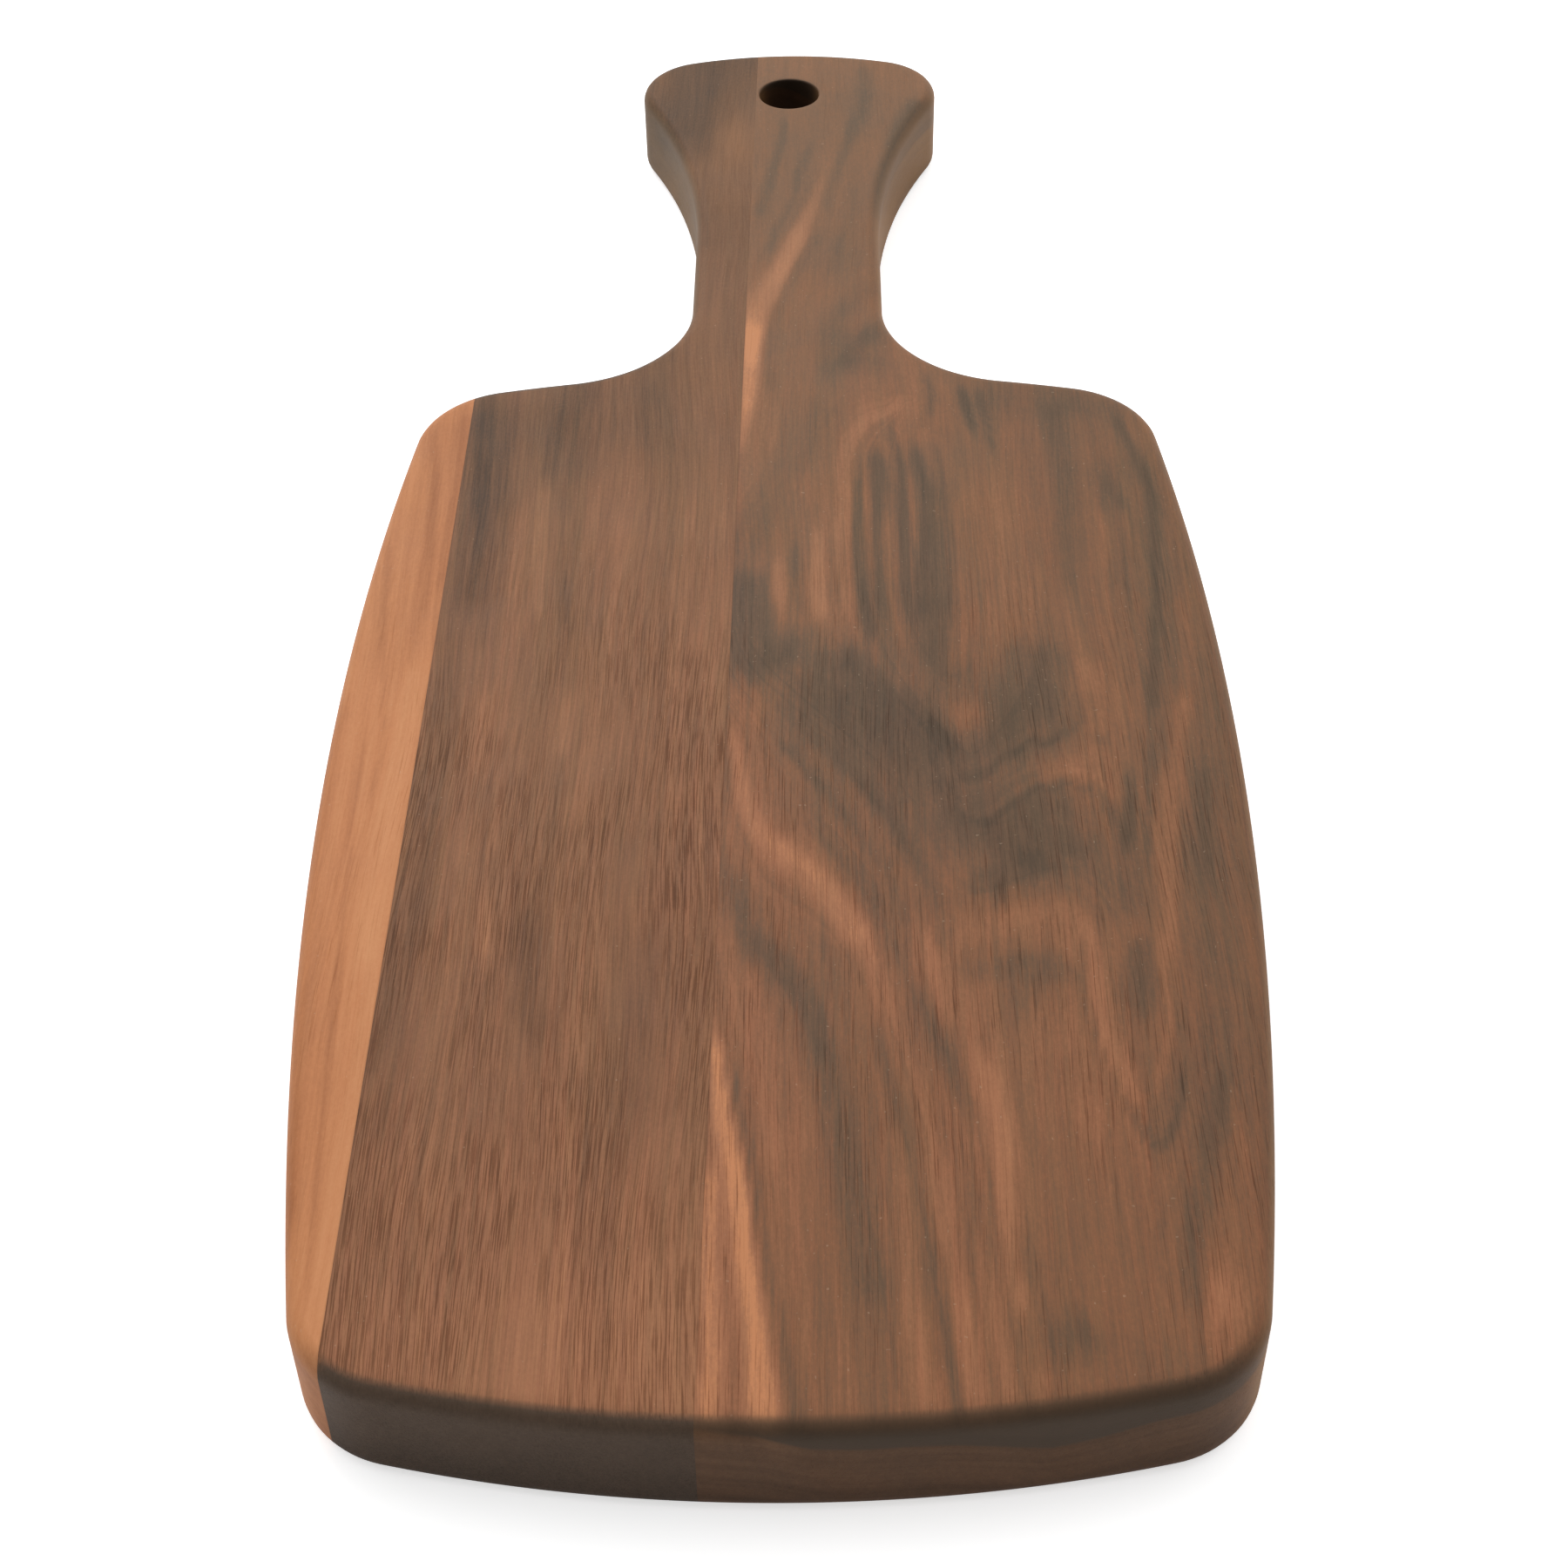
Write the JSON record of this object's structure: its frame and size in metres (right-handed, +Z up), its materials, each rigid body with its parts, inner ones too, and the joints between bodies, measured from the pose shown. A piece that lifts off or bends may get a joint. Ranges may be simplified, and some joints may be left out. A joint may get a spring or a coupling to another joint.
{
  "type": "paddle serving board",
  "caption": "Paddle-shaped hardwood serving board with bowed sides, a waisted handle with a hanging hole, and rounded edges.",
  "frame": {"origin": "centre of the board's overall box, on its underside", "axes": "+Y along the board towards the handle, +Z up out of the serving face, +X to the right seen from above with the handle away"},
  "size_m": [0.178, 0.44, 0.022],
  "materials": {
    "pale_wood": "oiled satin",
    "brown_wood": "oiled satin",
    "figured_wood": "oiled satin"
  },
  "bodies": {
    "root": {"pale_stave": "pale_wood", "centre_stave": "brown_wood", "figured_stave": "figured_wood"}
  },
  "joints": []
}
